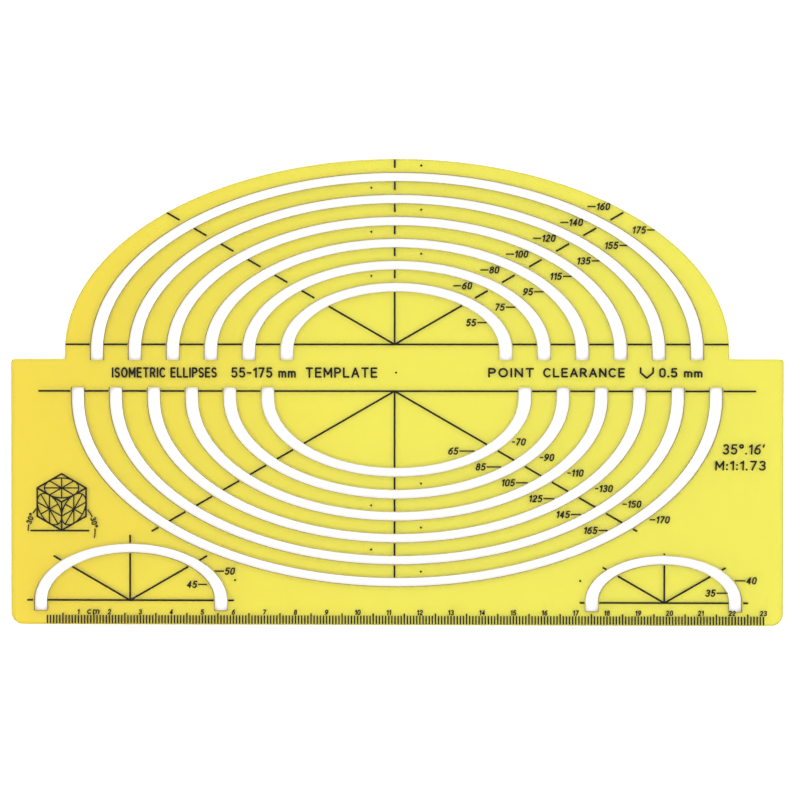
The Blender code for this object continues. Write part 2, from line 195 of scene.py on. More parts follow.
def slot_outlines():
    """The 14 slots: the upper group, the lower group and the two corner arcs."""
    upper = (0.0, RULER_EDGE + UPPER_CENTRE)
    lower = (0.0, RULER_EDGE + LOWER_CENTRE)
    arcs = RULER_EDGE + CORNER_ARC_CENTRE
    slots = [slot_outline(upper, circle, 1, UPPER_LEG) for circle in UPPER_SLOTS]
    slots += [slot_outline(lower, circle, -1, LOWER_LEG) for circle in LOWER_SLOTS]
    slots.append(slot_outline((LEFT_ARC_X, arcs), LEFT_ARC_SLOT, 1, CORNER_ARC_LEG))
    slots.append(slot_outline((RIGHT_ARC_X, arcs), RIGHT_ARC_SLOT, 1, CORNER_ARC_LEG))
    return slots


def dimple_places():
    """Where the moulded dimples are: one on each strip, on the centre bar and low on the sheet."""
    places = [(0.0, CENTRE_DIMPLE)]
    places += [(x, LOW_DIMPLE_HEIGHT) for x in LOW_DIMPLE_X]
    side = -DIMPLE_OFFSET
    for circle in UPPER_SLOTS:
        places.append((side, UPPER_CENTRE + (circle + STRIP_MIDDLE) * HALF_MINOR_PER_DIAMETER))
        side = -side
    side = DIMPLE_OFFSET
    for circle in LOWER_SLOTS[:-1]:
        places.append((side, LOWER_CENTRE - (circle + STRIP_MIDDLE) * HALF_MINOR_PER_DIAMETER))
        side = -side
    return [(x, RULER_EDGE + height) for x, height in places]


def area_of(points):
    """Twice the signed area, positive when the points run anticlockwise."""
    total = 0.0
    for (ax, ay), (bx, by) in zip(points, points[1:] + points[:1]):
        total += ax * by - bx * ay
    return total


def inset(points, distance):
    """A closed outline moved to its left by a distance, with mitred corners."""
    moved = []
    count = len(points)
    for index in range(count):
        before, here, after = points[index - 1], points[index], points[(index + 1) % count]
        one = Vector((here[0] - before[0], here[1] - before[1])).normalized()
        two = Vector((after[0] - here[0], after[1] - here[1])).normalized()
        first = Vector((-one.y, one.x))
        second = Vector((-two.y, two.x))
        mitre = (first + second) / (1.0 + first.dot(second))
        moved.append((here[0] + mitre.x * distance, here[1] + mitre.y * distance))
    return moved


def without_repeats(points):
    """The outline without points that lie on the one before."""
    kept = []
    for point in points:
        if not kept or math.dist(point, kept[-1]) > SAME_POINT:
            kept.append(point)
    if math.dist(kept[0], kept[-1]) <= SAME_POINT:
        kept.pop()
    return kept


# ---------------------------------------------------------------- the sheet


def wall_profile(bottom_round, top_round):
    """(inset, height) from the underside's edge up over the top edge, with both arrises rounded."""
    profile = []
    for step in range(ROUND_STEPS + 1):
        angle = math.pi / 2 * step / ROUND_STEPS
        profile.append((bottom_round * (1 - math.sin(angle)), bottom_round * (1 - math.cos(angle))))
    for step in range(ROUND_STEPS + 1):
        angle = math.pi / 2 * step / ROUND_STEPS
        height = THICKNESS - top_round * (1 - math.sin(angle))
        profile.append((top_round * (1 - math.cos(angle)), height))
    return profile


def ring(cage, points, height):
    """A row of vertices on an outline, at one height."""
    return [cage.verts.new((x, y, height)) for x, y in points]


def bridge(cage, lower, upper, material):
    """Quads between two rings of as many points. The material lies to the left of the rings' run."""
    count = len(lower)
    for index in range(count):
        after = (index + 1) % count
        face = cage.faces.new((lower[index], lower[after], upper[after], upper[index]))
        face.material_index = material
        face.smooth = True


def inside(point, loop):
    """Whether a point lies inside a closed row of vertices."""
    crossings = 0
    for one, two in zip(loop, loop[1:] + loop[:1]):
        if (one.co.y > point.y) != (two.co.y > point.y):
            share = (point.y - one.co.y) / (two.co.y - one.co.y)
            crossings += one.co.x + share * (two.co.x - one.co.x) > point.x
    return crossings % 2 == 1


# What delaunay_2d_cdt keeps: the triangles inside the outlines it is given
KEEP_INSIDE = 1


def cap(cage, rings, up):
    """The flat face between the outer ring, which is the first, and the rings of the holes in it."""
    verts = [vert for one in rings for vert in one]
    number = {vert: index for index, vert in enumerate(verts)}
    home = [which for which, one in enumerate(rings) for _ in one]
    edges = []
    for one in rings:
        edges += [(number[a], number[b]) for a, b in zip(one, one[1:] + one[:1])]
    flat = [Vector((vert.co.x, vert.co.y)) for vert in verts]
    _, _, triangles, sources, _, _ = delaunay_2d_cdt(flat, edges, [], KEEP_INSIDE, SAME_IN_CAP)
    origin = [source[0] for source in sources]
    for triangle in triangles:
        numbers = [origin[index] for index in triangle]
        corners = [verts[index] for index in numbers]
        a, b, c = (vert.co for vert in corners)
        homes = {home[index] for index in numbers}
        if len(homes) == 1 and homes != {0} and inside((a + b + c) / 3, rings[homes.pop()]):
            continue
        if ((b - a).cross(c - a).z > 0.0) != up:
            corners.reverse()
        cage.faces.new(corners)


def sharpen(cage, angle):
    """Marks the edges between smooth faces that meet at more than an angle."""
    for edge in cage.edges:
        edge.smooth = len(edge.link_faces) == 2 and edge.calc_face_angle() < angle


# The sheet's materials, in the order in which make_sheet is given them
PLASTIC_SLOT, EDGE_SLOT, WALL_AMBER_AND_SHADE_SLOT, DIMPLE_SHADE_SLOT = range(4)


def make_dimple(cage, top):
    """A small conical pit below a ring in the top face."""
    middle = sum((vert.co for vert in top), Vector()) / len(top)
    rings = [top]
    for share, drop in DIMPLE_RINGS:
        points = []
        for vert in top:
            spoke = (vert.co - middle) * share
            points.append((middle.x + spoke.x, middle.y + spoke.y))
        rings.append(ring(cage, points, middle.z - drop * DIMPLE_DEPTH))
    # The pit's faces take the near-black painted shade of the dimples
    for upper, lower in zip(rings, rings[1:]):
        bridge(cage, lower, upper, DIMPLE_SHADE_SLOT)
    floor = cage.faces.new(rings[-1][::-1])
    floor.normal_update()
    if floor.normal.z < 0.0:
        floor.normal_flip()
    floor.material_index = DIMPLE_SHADE_SLOT


def bevel_ruler_edge(cage):
    """Parts the mesh along the bevel's inner edge, and lowers the top beyond it."""
    line = RULER_EDGE + RULER_BEVEL_WIDTH
    geometry = cage.verts[:] + cage.edges[:] + cage.faces[:]
    bmesh.ops.bisect_plane(
        cage,
        geom=geometry,
        dist=SAME_AT_BEVEL,
        plane_co=(0.0, line, 0.0),
        plane_no=(0.0, 1.0, 0.0),
    )
    slope = RULER_BEVEL_DEPTH / RULER_BEVEL_WIDTH
    for vert in cage.verts:
        if vert.co.y < line and vert.co.z > THICKNESS / 2:
            vert.co.z -= slope * (line - vert.co.y)


def make_wall(cage, outline, material, bottom_round, top_round):
    """The wall along an outline, with its arrises. Returns its lowest and its highest ring."""
    profile = wall_profile(bottom_round, top_round)
    rings = [ring(cage, inset(outline, gap), height) for gap, height in profile]
    for number, (lower, upper) in enumerate(zip(rings, rings[1:])):
        bridge(cage, lower, upper, material if number == ROUND_STEPS else PLASTIC_SLOT)
    return rings[0], rings[-1]


def make_sheet(materials):
    """The one moulded sheet, with its slots cut through, rounded arrises, dimples and the ruler's bevel."""
    cage = bmesh.new()
    walls = [make_wall(cage, without_repeats(sheet_outline()), EDGE_SLOT, BOTTOM_ROUND, TOP_ROUND)]
    for slot in slot_outlines():
        slot = without_repeats(slot)
        clockwise = slot if area_of(slot) < 0.0 else slot[::-1]
        # The slot walls take the opaque dark amber that is partly painted shade
        walls.append(make_wall(cage, clockwise, WALL_AMBER_AND_SHADE_SLOT, SLOT_ROUND, SLOT_ROUND))
    bottoms, tops = zip(*walls)
    dimples = []
    for x, y in dimple_places():
        points = []
        for step in range(DIMPLE_SIDES):
            angle = -2 * math.pi * step / DIMPLE_SIDES
            points.append((x + DIMPLE_RADIUS * math.cos(angle), y + DIMPLE_RADIUS * math.sin(angle)))
        dimples.append(ring(cage, points, THICKNESS))
    cap(cage, [*tops, *dimples], True)
    cap(cage, bottoms, False)
    for top in dimples:
        make_dimple(cage, top)
    bevel_ruler_edge(cage)
    sharpen(cage, SHARP_EDGE)
    mesh = bpy.data.meshes.new("template_sheet")
    cage.to_mesh(mesh)
    cage.free()
    for material in materials:
        mesh.materials.append(material)
    sheet = bpy.data.objects.new("template_sheet", mesh)
    bpy.context.scene.collection.objects.link(sheet)
    return sheet


# ---------------------------------------------------------------- the print


def edge_x(axes, rise):
    """Half the width of an ellipse at a height above its centre, or of its straight legs below it."""
    if rise <= 0.0:
        return axes[0]
    return axes[0] * math.sqrt(max(0.0, 1.0 - (rise / axes[1]) ** 2))


def ray_length(start, angle, axes):
    """How far a ray runs from a point inside an ellipse to its edge. The point is given from the centre."""
    ray = (math.cos(angle), math.sin(angle))
    square = (ray[0] / axes[0]) ** 2 + (ray[1] / axes[1]) ** 2
    half_linear = start[0] * ray[0] / axes[0] ** 2 + start[1] * ray[1] / axes[1] ** 2
    constant = (start[0] / axes[0]) ** 2 + (start[1] / axes[1]) ** 2 - 1.0
    return (math.sqrt(half_linear**2 - square * constant) - half_linear) / square


def prism(cage, outline):
    """A film of ink with this outline, closed on all sides."""
    if area_of(outline) < 0.0:
        outline = outline[::-1]
    low = ring(cage, outline, INK_BOTTOM)
    high = ring(cage, outline, INK_TOP)
    cage.faces.new(low[::-1])
    cage.faces.new(high)
    count = len(outline)
    for index in range(count):
        after = (index + 1) % count
        cage.faces.new((low[index], low[after], high[after], high[index]))


def line(cage, start, end, width=LINE_WIDTH):
    """A straight printed line with square ends."""
    length = math.dist(start, end)
    side = (
        -(end[1] - start[1]) / length * width / 2,
        (end[0] - start[0]) / length * width / 2,
    )
    prism(
        cage,
        [
            (start[0] - side[0], start[1] - side[1]),
            (end[0] - side[0], end[1] - side[1]),
            (end[0] + side[0], end[1] + side[1]),
            (start[0] + side[0], start[1] + side[1]),
        ],
    )


def ray_line(cage, start, angle, near, far):
    """A line on a ray from a point, between two distances along it."""
    ray = (math.cos(angle), math.sin(angle))
    line(
        cage,
        (start[0] + ray[0] * near, start[1] + ray[1] * near),
        (start[0] + ray[0] * far, start[1] + ray[1] * far),
    )


# The most degrees between two points of a bend in a letter
BEND_STEP = 18


def bend(centre_x, centre_y, half_width, half_height, start, end):
    """Points on an elliptical arc, with its ends given in degrees."""
    steps = max(2, round(abs(end - start) / BEND_STEP))
    points = []
    for step in range(steps + 1):
        angle = math.radians(start + (end - start) * step / steps)
        points.append((centre_x + half_width * math.cos(angle), centre_y + half_height * math.sin(angle)))
    return points


def turned_over(strokes, width):
    """The strokes of a letter turned by half a turn in its box."""
    return [[(width - x, 1.0 - y) for x, y in one] for one in strokes]


SIX = [bend(0.60, 0.34, 0.58, 0.66, 100, 176), bend(0.27, 0.29, 0.27, 0.29, 0, 360)]
BOWL = [(0.0, 0.0), (0.0, 1.0)] + bend(0.26, 0.74, 0.26, 0.26, 90, -90) + [(0.0, 0.48)]

# Plain drawing-office lettering: each sign has a width and its strokes, where the capital height is 1
LETTERS = {
    " ": (0.15, []),
    "0": (
        0.52,
        [bend(0.26, 0.70, 0.26, 0.30, 0, 180) + bend(0.26, 0.30, 0.26, 0.30, 180, 360) + [(0.52, 0.70)]],
    ),
    "1": (0.24, [[(0.0, 0.78), (0.24, 1.0), (0.24, 0.0)]]),
    "2": (0.52, [bend(0.26, 0.74, 0.25, 0.26, 165, -30) + [(0.0, 0.0), (0.52, 0.0)]]),
    "3": (0.52, [bend(0.25, 0.76, 0.23, 0.24, 150, -90) + bend(0.25, 0.26, 0.27, 0.26, 90, -150)]),
    "4": (0.56, [[(0.40, 0.0), (0.40, 1.0), (0.0, 0.27), (0.56, 0.27)]]),
    "5": (0.52, [[(0.48, 1.0), (0.07, 1.0), (0.03, 0.55)] + bend(0.24, 0.31, 0.28, 0.31, 120, -145)]),
    "6": (0.54, SIX),
    "7": (0.52, [[(0.0, 1.0), (0.52, 1.0), (0.16, 0.0)]]),
    "8": (0.52, [bend(0.26, 0.77, 0.21, 0.23, 0, 360), bend(0.26, 0.27, 0.26, 0.27, 0, 360)]),
    "9": (0.54, turned_over(SIX, 0.54)),
    "A": (0.64, [[(0.0, 0.0), (0.32, 1.0), (0.64, 0.0)], [(0.12, 0.34), (0.52, 0.34)]]),
    "C": (0.62, [bend(0.34, 0.50, 0.34, 0.50, 48, 312)]),
    "E": (0.50, [[(0.50, 1.0), (0.0, 1.0), (0.0, 0.0), (0.50, 0.0)], [(0.0, 0.52), (0.44, 0.52)]]),
    "I": (0.0, [[(0.0, 0.0), (0.0, 1.0)]]),
    "L": (0.48, [[(0.0, 1.0), (0.0, 0.0), (0.48, 0.0)]]),
    "M": (0.70, [[(0.0, 0.0), (0.0, 1.0), (0.35, 0.30), (0.70, 1.0), (0.70, 0.0)]]),
    "N": (0.58, [[(0.0, 0.0), (0.0, 1.0), (0.58, 0.0), (0.58, 1.0)]]),
    "O": (0.68, [bend(0.34, 0.50, 0.34, 0.50, 0, 360)]),
    "P": (0.52, [BOWL]),
    "R": (0.56, [BOWL, [(0.26, 0.48), (0.56, 0.0)]]),
    "S": (0.52, [bend(0.26, 0.75, 0.24, 0.25, 35, 270) + bend(0.26, 0.25, 0.26, 0.25, 90, -145)]),
    "T": (0.58, [[(0.0, 1.0), (0.58, 1.0)], [(0.29, 1.0), (0.29, 0.0)]]),
    "c": (0.44, [bend(0.27, 0.30, 0.27, 0.30, 55, 305)]),
    "m": (
        0.72,
        [
            [(0.0, 0.0), (0.0, 0.60)],
            [(0.0, 0.36)] + bend(0.18, 0.40, 0.18, 0.20, 170, 0) + [(0.36, 0.0)],
            [(0.36, 0.36)] + bend(0.54, 0.40, 0.18, 0.20, 170, 0) + [(0.72, 0.0)],
        ],
    ),
    ".": (0.0, [[(0.0, 0.02)]]),
    ":": (0.0, [[(0.0, 0.06)], [(0.0, 0.58)]]),
    "-": (0.36, [[(0.0, 0.46), (0.36, 0.46)]]),
    "'": (0.06, [[(0.06, 1.0), (0.0, 0.78)]]),
    "\u00b0": (0.34, [bend(0.17, 0.84, 0.17, 0.17, 0, 360)]),
}
LETTER_GAP = 0.36

# The pen: the sides of its round ends, a dot's radius and the shortest stroke in pen widths, the bend that
# gets a round end, and how near points of its patches count as one, in millimetres
DISC_SIDES = 10
DOT_RADIUS = 0.6
PEN_REST = 0.01
SHARP_BEND = math.radians(50)
SAME_IN_PATCHES = 1e-4


def disc(centre, radius):
    """The patch under a round pen that stands still."""
    points = []
    for step in range(DISC_SIDES):
        angle = 2 * math.pi * step / DISC_SIDES
        points.append((centre[0] + radius * math.cos(angle), centre[1] + radius * math.sin(angle)))
    return points


def pen_patches(points, width):
    """The patches that a round pen covers along a row of points."""
    points = [
        point
        for point, before in zip(points, [None] + points[:-1])
        if before is None or math.dist(point, before) > width * PEN_REST
    ]
    if len(points) == 1:
        return [disc(points[0], width * DOT_RADIUS)]
    closed = math.dist(points[0], points[-1]) < width * PEN_REST
    if closed:
        points = points[:-1]
    count = len(points)
    ways = []
    for index in range(count if closed else count - 1):
        ways.append((Vector(points[(index + 1) % count]) - Vector(points[index])).normalized())
    patches = []
    offsets = []
    for index in range(count):
        before = ways[index - 1] if index or closed else None
        after = ways[index] if index < len(ways) else None
        sharp = before and after and before.angle(after) > SHARP_BEND
        if not (before and after) or sharp:
            patches.append(disc(points[index], width / 2))
        sides = []
        for one, two in ((before, after), (after, before)):
            one = one or two
            two = one if sharp or not two else two
            mitre = Vector((-one.y - two.y, one.x + two.x)) / (1.0 + one.dot(two))
            sides.append(mitre * width / 2)
        offsets.append(sides)
    for index in range(len(ways)):
        here, there = Vector(points[index]), Vector(points[(index + 1) % count])
        start, end = offsets[index][1], offsets[(index + 1) % count][0]
        corners = (here + start, here - start, there - end, there + end)
        patches.append([tuple(place) for place in corners])
    return patches


def add_patches(cage, patches, place):
    """One film of ink over the union of flat patches.

    The patches are in millimetres, and the function place puts their points on the sheet.
    """
    points, faces = [], []
    for patch in patches:
        faces.append(list(range(len(points), len(points) + len(patch))))
        points += [Vector(point) for point in patch]
    flat, _, found, _, _, covers = delaunay_2d_cdt(points, [], faces, KEEP_INSIDE, SAME_IN_PATCHES)
    triangles = [triangle for triangle, cover in zip(found, covers) if cover]
    used = sorted({index for triangle in triangles for index in triangle})
    levels = []
    for height in (INK_BOTTOM, INK_TOP):
        levels.append({index: cage.verts.new((*place(flat[index]), height)) for index in used})
    low, high = levels
    runs = set()
    for triangle in triangles:
        cage.faces.new([high[index] for index in triangle])
        cage.faces.new([low[index] for index in reversed(triangle)])
        runs |= set(zip(triangle, triangle[1:] + triangle[:1]))
    for one, two in sorted(runs):
        if (two, one) not in runs:
            cage.faces.new((low[one], low[two], high[two], high[one]))


def in_metres(point):
    """A point in millimetres, in metres."""
    return point.x * MM, point.y * MM


def words(cage, text, height, weight, centre, width=None, slant=0.0, turn=0.0):
    """Lettering of an overall height, drawn with a pen of a width, with its middle at a place.

    It is stretched to an overall width where one is given, and returns the width it has.
    """
    tall = (height - weight) / MM
    pen = weight / MM
    advance, strokes = 0.0, []
    for sign in text:
        sign_width, own = LETTERS[sign]
        strokes += [[(x + advance, y) for x, y in one] for one in own]
        advance += sign_width + LETTER_GAP
    natural = (advance - LETTER_GAP) * tall
    stretch = 1.0 if width is None else (width / MM - pen) / natural
    patches = []
    for one in strokes:
        drawn = []
        for x, y in one:
            lean = slant * (y - 0.5) * tall
            drawn.append((x * tall * stretch - natural * stretch / 2 + lean, (y - 0.5) * tall))
        patches += pen_patches(drawn, pen)
    cosine, sine = math.cos(turn), math.sin(turn)

    def place(point):
        x, y = in_metres(point)
        return centre[0] + x * cosine - y * sine, centre[1] + x * sine + y * cosine

    add_patches(cage, patches, place)
    return (natural * stretch + pen) * MM


def printed(name, cage, ink):
    """The finished piece of print."""
    bmesh.ops.remove_doubles(cage, verts=cage.verts, dist=SAME_IN_PRINT)
    mesh = bpy.data.meshes.new(name)
    cage.to_mesh(mesh)
    cage.free()
    mesh.materials.append(ink)
    piece = bpy.data.objects.new(name, mesh)
    bpy.context.scene.collection.objects.link(piece)
    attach(piece, ROOT)
    return piece


# How far the upper group's dashes stay off its slots, and how far its print lies off the slots' middle
UPPER_MARGIN = 0.75 * MM
UPPER_SHIFT = (-0.35 * MM, 0.6 * MM)

# The 30 degree ticks outside the lower group's last slot, right and left
OUTER_TICKS = (1.6 * MM, 2.6 * MM)

# The ticks outside each corner arc: how far they reach at the ends, at 30 degrees and at the top
LEFT_ARC_TICKS = (2.2 * MM, 3.1 * MM, 2.9 * MM)
RIGHT_ARC_TICKS = (1.9 * MM, 1.7 * MM, 0.8 * MM)
ARC_TICK_GAP = 0.3 * MM


def strips_of(slots, last_axes):
    """The inner and outer edge of each strip outside a group's slots."""
    edges = []
    for number, circle in enumerate(slots, 1):
        inner = half_axes(circle + SLOT_STEP, PENCIL_ALLOWANCE)
        outer = half_axes(circle + GROUP_STEP, -PENCIL_ALLOWANCE)
        edges.append((inner, outer if number < len(slots) else last_axes))
    return edges


def rim_axes():
    """The half axes of the edge at which the upper group's print ends on the dome."""
    return half_axes(DOME_CIRCLE, -PENCIL_ALLOWANCE)


def dash_margins(angle, way):
    """What a dash leaves free at its near end and at its far end."""
    if way < 0:
        return LINE_MARGIN, LINE_MARGIN
    shift = UPPER_SHIFT[0] * math.cos(angle) + UPPER_SHIFT[1] * math.sin(angle)
    return UPPER_MARGIN + shift, UPPER_MARGIN - shift


def make_group_dashes(name, slots, centre, axis, way, last_axes, ink):
    """The upright and the 30 degree lines' lengths on a group's strips."""
    cage = bmesh.new()
    start = (PRINT_X, RULER_EDGE + axis)
    offset = (PRINT_X, axis - centre)
    for inner, outer in strips_of(slots, last_axes):
        for angle, tick in zip((ISOMETRIC_ANGLE, math.pi - ISOMETRIC_ANGLE), OUTER_TICKS):
            free_near, free_far = dash_margins(angle, way)
            near = ray_length(offset, way * angle, inner) + free_near
            far = near + tick
            if outer:
                far = ray_length(offset, way * angle, outer) - free_far
            ray_line(cage, start, way * angle, near, far)
        if outer:
            free_near, free_far = dash_margins(math.pi / 2, way)
            rises = (inner[1] + free_near, outer[1] - free_far)
            near, far = (RULER_EDGE + centre + way * rise for rise in rises)
            line(cage, (PRINT_X, near), (PRINT_X, far))
    printed(name, cage, ink)


def make_arc_ticks(ink):
    """Short ticks outside the two corner arcs: level, at 30 degrees and upright."""
    cage = bmesh.new()
    for slot_x, print_x, circle, axis, (level, slanting, upright) in (
        (LEFT_ARC_X, LEFT_ARC_PRINT_X, LEFT_ARC_SLOT, LEFT_ARC_AXIS, LEFT_ARC_TICKS),
        (RIGHT_ARC_X, RIGHT_ARC_PRINT_X, RIGHT_ARC_SLOT, RIGHT_ARC_AXIS, RIGHT_ARC_TICKS),
    ):
        axes = half_axes(circle + SLOT_STEP, PENCIL_ALLOWANCE)
        start = (print_x, RULER_EDGE + axis)
        offset = (print_x - slot_x, axis - CORNER_ARC_CENTRE)
        for side in (-1, 1):
            edge = slot_x + side * axes[0]
            line(cage, (edge + side * ARC_TICK_GAP, start[1]), (edge + side * level, start[1]))
        for angle, reach in (
            (ISOMETRIC_ANGLE, slanting),
            (math.pi / 2, upright),
            (math.pi - ISOMETRIC_ANGLE, slanting),
        ):
            near = ray_length(offset, angle, axes)
            ray_line(cage, start, angle, near + ARC_TICK_GAP, near + reach)
    printed("arc_ticks", cage, ink)


NUMERAL_HEIGHT = 2.4 * MM
NUMERAL_PEN = 0.47 * MM
POINTER_WIDTH = 0.45 * MM
POINTER_GAP = 0.3 * MM
POINTER_LENGTH = 2.6 * MM
SLANT = 0.2

# A row of sizes: the first one's place from its group's centre, and the step to the next
UPPER_OUTER_ROW = ((22.75 * MM, 20.7 * MM), (8.71 * MM, 5.07 * MM))
LOWER_INNER_ROW = ((18.4 * MM, 16.95 * MM), (8.8 * MM, 5.08 * MM))
LOWER_OUTER_ROW = ((40.0 * MM, 14.0 * MM), (9.11 * MM, 4.98 * MM))

# The upper group's inner sizes follow their slots: how high the first is, the step, and how far in they are
UPPER_INNER_RISE = 8.9 * MM
UPPER_INNER_STEP = 4.94 * MM
UPPER_INNER_INSET = 5.0 * MM

# What the lower group's pointers leave free before their slots
LOWER_INNER_MARGIN = 0.4 * MM
LOWER_OUTER_MARGIN = 1.0 * MM

# The sizes beside the corner arcs: size, middle, height, and where the pointer ends, in millimetres
ARC_SIZES = (
    (50, -53.4, 17.3, -58.4),
    (45, -65.6, 13.0, -60.8),
    (40, 113.9, 14.6, 108.5),
    (35, 100.8, 10.6, 106.3),
)


def row_place(row, count):
    """Where one of a row of sizes stands: how far to the right, and how far up or down."""
    (x, rise), (step_x, step_rise) = row
    return x + count * step_x, rise + count * step_rise


def numeral(cage, number, centre):
    """A circle's size. Returns its width."""
    return words(cage, str(number), NUMERAL_HEIGHT, NUMERAL_PEN, centre, slant=SLANT)


def pointer(cage, start, end, height):
    """The short level line between a size and its slot."""
    line(cage, (start, height), (end, height), POINTER_WIDTH)


def make_upper_sizes(ink):
    """The circle sizes on the upper group's strips: outer edges above the 30 degree line, inner below."""
    cage = bmesh.new()
    for count, circle in enumerate(UPPER_SLOTS):
        middle, rise = row_place(UPPER_OUTER_ROW, count)
        height = RULER_EDGE + UPPER_CENTRE + rise
        width = numeral(cage, round((circle + SLOT_STEP) / MM), (middle, height))
        end = middle - width / 2 - POINTER_GAP
        pointer(cage, end - POINTER_LENGTH, end, height)
    for count, circle in enumerate(UPPER_SLOTS + [DOME_CIRCLE]):
        rise = UPPER_INNER_RISE + count * UPPER_INNER_STEP
        height = RULER_EDGE + UPPER_CENTRE + rise
        edge = edge_x(half_axes(circle, -PENCIL_ALLOWANCE), rise) - LINE_MARGIN
        middle = edge - UPPER_INNER_INSET
        width = numeral(cage, round(circle / MM), (middle, height))
        pointer(cage, middle + width / 2 + POINTER_GAP, edge, height)
    printed("upper_sizes", cage, ink)


def make_lower_sizes(ink):
    """The circle sizes of the lower group: inner edges below the 30 degree line, outer above."""
    cage = bmesh.new()
    for count, circle in enumerate(LOWER_SLOTS):
        middle, rise = row_place(LOWER_INNER_ROW, count)
        height = RULER_EDGE + LOWER_CENTRE - rise
        edge = edge_x(half_axes(circle, -PENCIL_ALLOWANCE), rise) - LINE_MARGIN
        width = numeral(cage, round(circle / MM), (middle, height))
        pointer(cage, middle + width / 2 + POINTER_GAP, edge - LOWER_INNER_MARGIN, height)
        size = circle + SLOT_STEP
        middle, rise = row_place(LOWER_OUTER_ROW, count)
        height = RULER_EDGE + LOWER_CENTRE - rise
        edge = edge_x(half_axes(size, PENCIL_ALLOWANCE), rise) + LOWER_OUTER_MARGIN
        width = numeral(cage, round(size / MM), (middle, height))
        pointer(cage, edge, middle - width / 2 - POINTER_GAP, height)
    printed("lower_sizes", cage, ink)


def make_arc_sizes(ink):
    """The sizes beside the two corner arcs, each with a pointer."""
    cage = bmesh.new()
    for number, x, rise, end in ARC_SIZES:
        height = RULER_EDGE + rise * MM
        width = numeral(cage, number, (x * MM, height))
        side = 1 if end > x else -1
        near = x * MM + side * (width / 2 + POINTER_GAP)
        pointer(cage, near, end * MM, height)
    printed("arc_sizes", cage, ink)


# The ruler: its marks stand over the ruler edge, its numbers over the marks, and the place of "cm" counts
# from the zero mark and from the numbers' middle
RULER_ZERO = -112.3 * MM
RULER_MARKS = 230
MARK_BASE = 0.4 * MM
MARK_LENGTH = 2.7 * MM
HALF_MARK_LENGTH = 3.4 * MM
MARK_WIDTH = 0.48 * MM
RULER_NUMERAL_HEIGHT = 1.75 * MM
RULER_NUMERAL_PEN = 0.38 * MM
RULER_NUMERAL_GAP = 0.15 * MM
RULER_SLANT = 0.1
UNIT_PLACE = (14.8 * MM, 0.4 * MM)
UNIT_HEIGHT = 2.3 * MM
UNIT_WIDTH = 4.1 * MM
UNIT_PEN = 0.42 * MM


def make_ruler(ink):
    """The ruler's marks, and the centimetre numbers over them."""
    cage = bmesh.new()
    foot = RULER_EDGE + MARK_BASE
    for mark in range(RULER_MARKS + 1):
        x = RULER_ZERO + mark * MM
        length = HALF_MARK_LENGTH if mark % 10 == 5 else MARK_LENGTH
        line(cage, (x, foot), (x, foot + length), MARK_WIDTH)
    marks = printed("ruler_marks", cage, ink)
    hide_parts("ruler_scale")
    cage = bmesh.new()
    height = foot + MARK_LENGTH + RULER_NUMERAL_GAP + RULER_NUMERAL_HEIGHT / 2
    for number in range(1, RULER_MARKS // 10 + 1):
        x = RULER_ZERO + number * 10 * MM
        words(cage, str(number), RULER_NUMERAL_HEIGHT, RULER_NUMERAL_PEN, (x, height), slant=RULER_SLANT)
    place = (RULER_ZERO + UNIT_PLACE[0], height + UNIT_PLACE[1])
    words(cage, "cm", UNIT_HEIGHT, UNIT_PEN, place, UNIT_WIDTH, slant=RULER_SLANT)
    printed("ruler_numbers", cage, ink)


# The words on the centre bar, each group with its left and right end in millimetres
CAPTION_Y = 81.2 * MM
CAPTION_PEN = 0.6 * MM
LEFT_WORDS = (("ISOMETRIC ELLIPSES", -91.5, -57.6), ("55-175 mm", -53.0, -32.2), ("TEMPLATE", -29.1, -6.0))
RIGHT_WORDS = (("POINT", 29.5, 44.2), ("CLEARANCE", 47.1, 73.3), ("0.5 mm", 84.2, 98.1))
LEFT_WORDS_HEIGHT = 3.4 * MM
RIGHT_WORDS_HEIGHT = 3.1 * MM

# The outline of a pencil's point, in millimetres
POINT_X = 80.3
POINT_HALF_WIDTH = 2.0
POINT_TOP = 1.5
POINT_BOTTOM = 1.7


def make_caption(name, groups, height, ink):
    """Groups of plain words on the centre bar, each between its ends."""
    cage = bmesh.new()
    for text, left, right in groups:
        centre = ((left + right) / 2 * MM, RULER_EDGE + CAPTION_Y)
        words(cage, text, height, CAPTION_PEN, centre, (right - left) * MM)
    printed(name, cage, ink)


def make_point_sign(ink):
    """The outline of a pencil's point between the caption's words and its number."""
    cage = bmesh.new()
    left, right = POINT_X - POINT_HALF_WIDTH, POINT_X + POINT_HALF_WIDTH
    y = (RULER_EDGE + CAPTION_Y) / MM
    top, bottom = y + POINT_TOP, y - POINT_BOTTOM
    points = [(left, top), (left, y), (POINT_X, bottom), (right, y), (right, top)]
    add_patches(cage, pen_patches(points, CAPTION_PEN / MM), in_metres)
    printed("point_sign", cage, ink)


# The note on the right: text, letter height, overall width and the middle's place, in millimetres
ANGLE_NOTE = (("35\u00b0.16'", 3.4, 13.4, (111.3, 56.7)), ("M:1:1.73", 3.2, 16.2, (110.3, 51.5)))
NOTE_PEN = 0.56 * MM
NOTE_SLANT = 0.05


def make_angle_note(ink):
    """The angle of the ellipses and the ratio of their axes."""
    cage = bmesh.new()
    for text, height, width, (x, y) in ANGLE_NOTE:
        centre = (x * MM, RULER_EDGE + y * MM)
        words(cage, text, height * MM, NOTE_PEN, centre, width * MM, slant=NOTE_SLANT)
    printed("angle_note", cage, ink)


# The cube sign, in millimetres: its place, its lines, and the base line below it
CUBE_X = -107.7
CUBE_HEIGHT = 39.45
CUBE_EDGE = 9.1
CUBE_OUTLINE = 0.56
CUBE_LINE = 0.42
CUBE_ELLIPSE_STEPS = 28
CUBE_DIAGONAL = 0.35
BASE_DROP = 0.1
BASE_ENDS = (-9.9, 8.7)
ANGLE_ARC = 10.8
ANGLE_FIGURE_HEIGHT = 1.9

